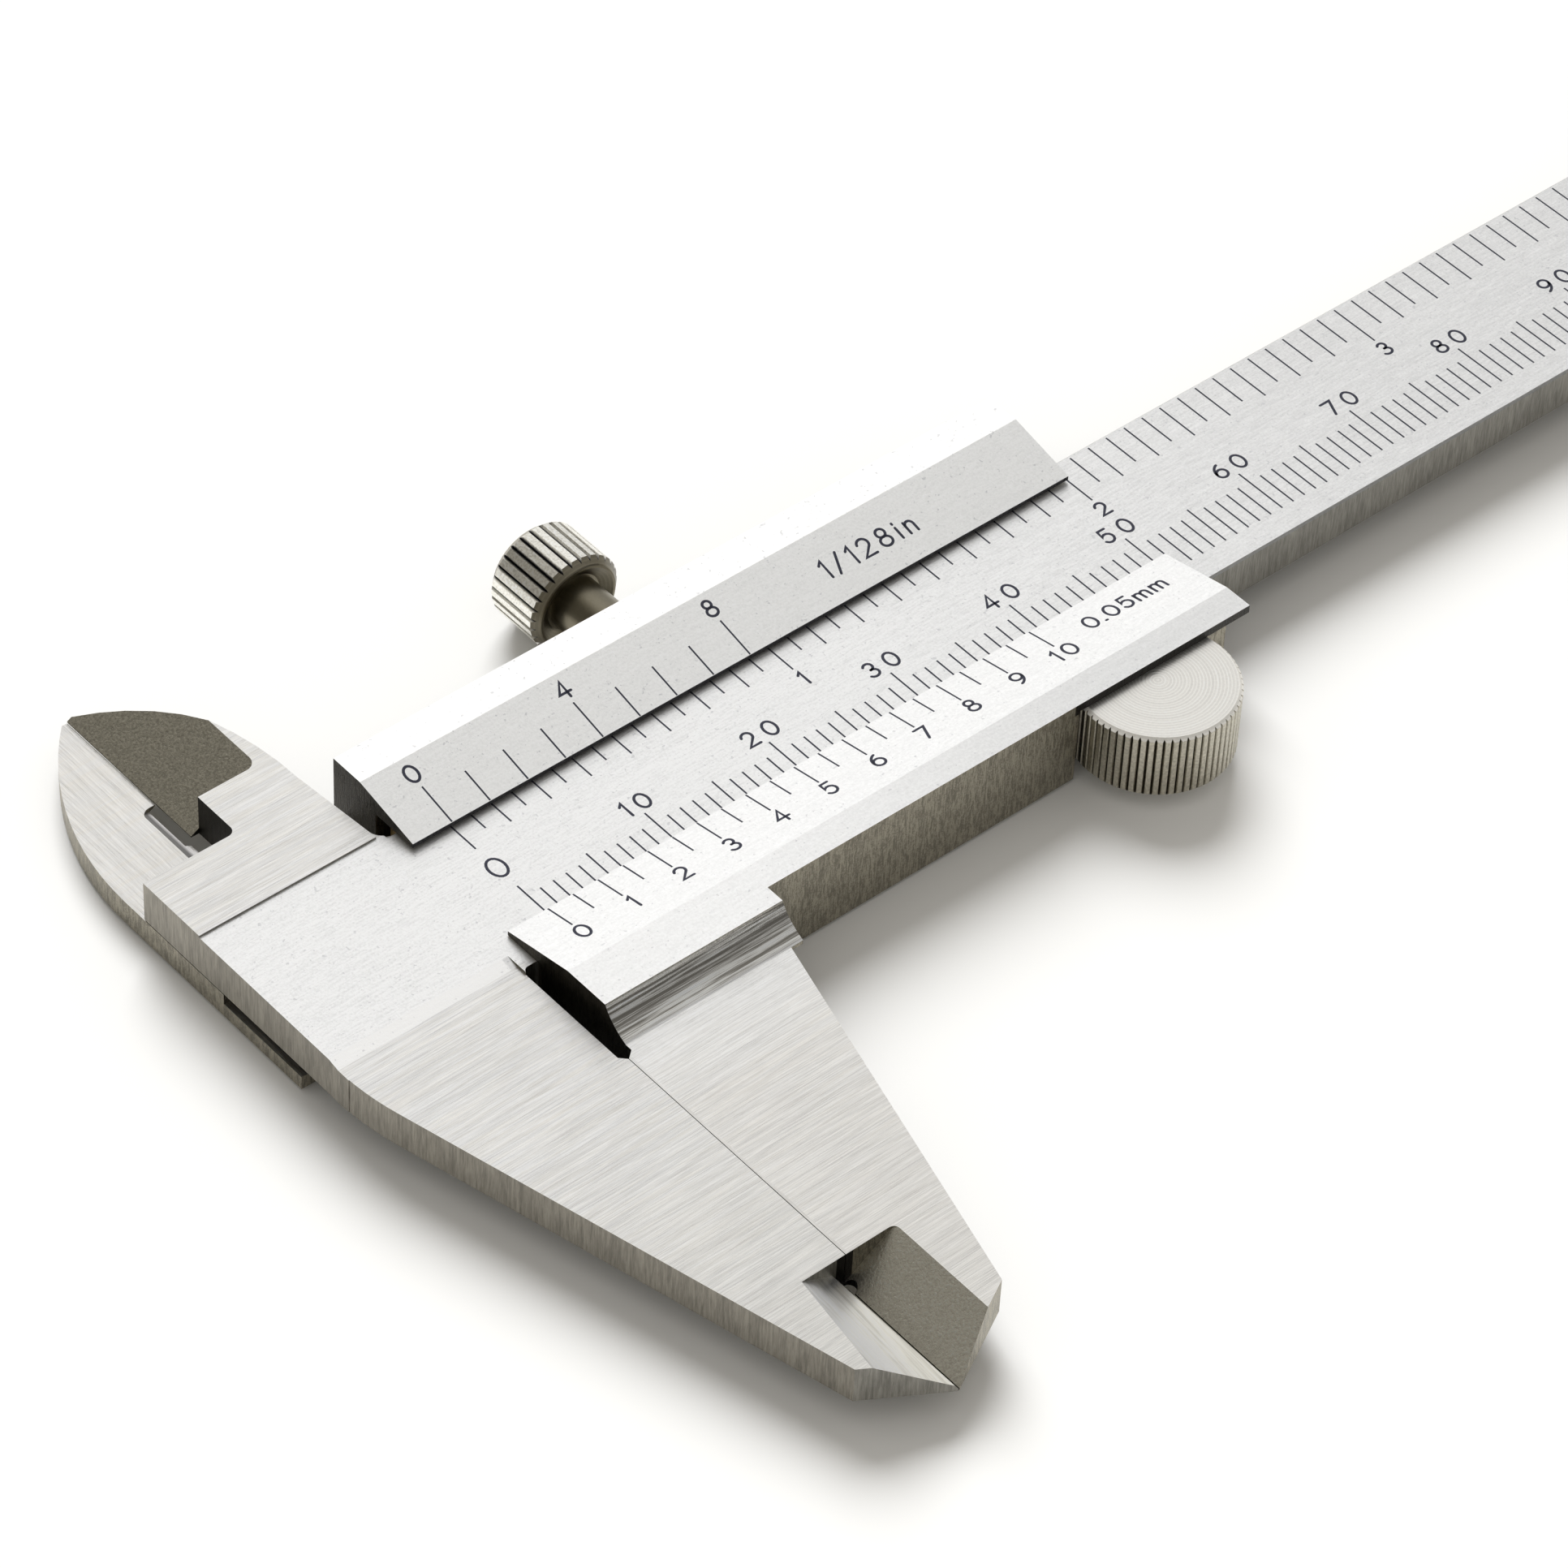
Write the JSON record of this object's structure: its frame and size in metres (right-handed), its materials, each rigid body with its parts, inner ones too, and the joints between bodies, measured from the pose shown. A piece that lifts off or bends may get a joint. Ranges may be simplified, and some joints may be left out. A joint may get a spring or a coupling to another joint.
{
  "type": "vernier caliper",
  "caption": "Steel vernier caliper with crossed inside blades, outside jaws, depth bar, lock screw and thumb roller, shown closed.",
  "frame": {"origin": "on the plane of the slider's back, which the caliper rests on, below the beam's centreline where the closed outside jaws meet", "axes": "+X along the beam away from the jaws, +Y across the beam towards the inside jaws, +Z out of the graduated face"},
  "size_m": [0.229, 0.0754, 0.0071],
  "materials": {
    "beam_steel": "satin",
    "slider_steel": "satin",
    "knurled_steel": "turned and knurled",
    "screw_steel": "machined",
    "spring_steel": "polished",
    "plate_steel": "satin",
    "stop_steel": "satin",
    "depth_steel": "satin",
    "gib_brass": "milled",
    "engraving": "dark enamel"
  },
  "bodies": {
    "beam_body": {"beam": "beam_steel", "end_stop": "stop_steel", "stop_screw_upper": "screw_steel", "stop_screw_lower": "screw_steel"},
    "slider_body": {"slider": "slider_steel", "gib": "gib_brass", "gib_spring": "spring_steel", "gib_screw_left": "screw_steel", "gib_screw_right": "screw_steel", "rear_plate": "plate_steel", "plate_screw_1": "screw_steel", "plate_screw_2": "screw_steel", "plate_screw_3": "screw_steel", "plate_screw_4": "screw_steel", "depth_bar": "depth_steel", "depth_rivet_left": "screw_steel", "depth_rivet_right": "screw_steel", "roller_axle": "screw_steel", "roller_washer": "spring_steel"},
    "roller_body": {"thumb_roller": "knurled_steel"},
    "lock_pad_body": {"lock_pad": "gib_brass"},
    "lock_screw_body": {"lock_screw": "knurled_steel"}
  },
  "joints": [
    {"name": "slider_slide", "type": "slide", "parent": "beam_body", "child": "slider_body", "axis": [1, 0, 0], "range_m": [0, 0.15]},
    {"name": "roller_spin", "type": "hinge", "parent": "slider_body", "child": "roller_body", "pos_m": [0.0457, -0.01261, 0.0043], "axis": [0, 0, 1], "continuous": true},
    {"name": "lock_pad_slide", "type": "slide", "parent": "slider_body", "child": "lock_pad_body", "axis": [0, -1, 0], "range_m": [0, 0.0004]},
    {"name": "lock_screw_turn", "type": "hinge", "parent": "lock_pad_body", "child": "lock_screw_body", "pos_m": [0.0233, 0.0196, 0.00325], "axis": [0, -1, 0], "range_deg": [0, 288]}
  ],
  "couplings": [
    {"joint": "roller_spin", "follows": "slider_slide", "rad_per_m": 185.19},
    {"joint": "lock_screw_turn", "follows": "lock_pad_slide", "rad_per_m": 12566}
  ]
}
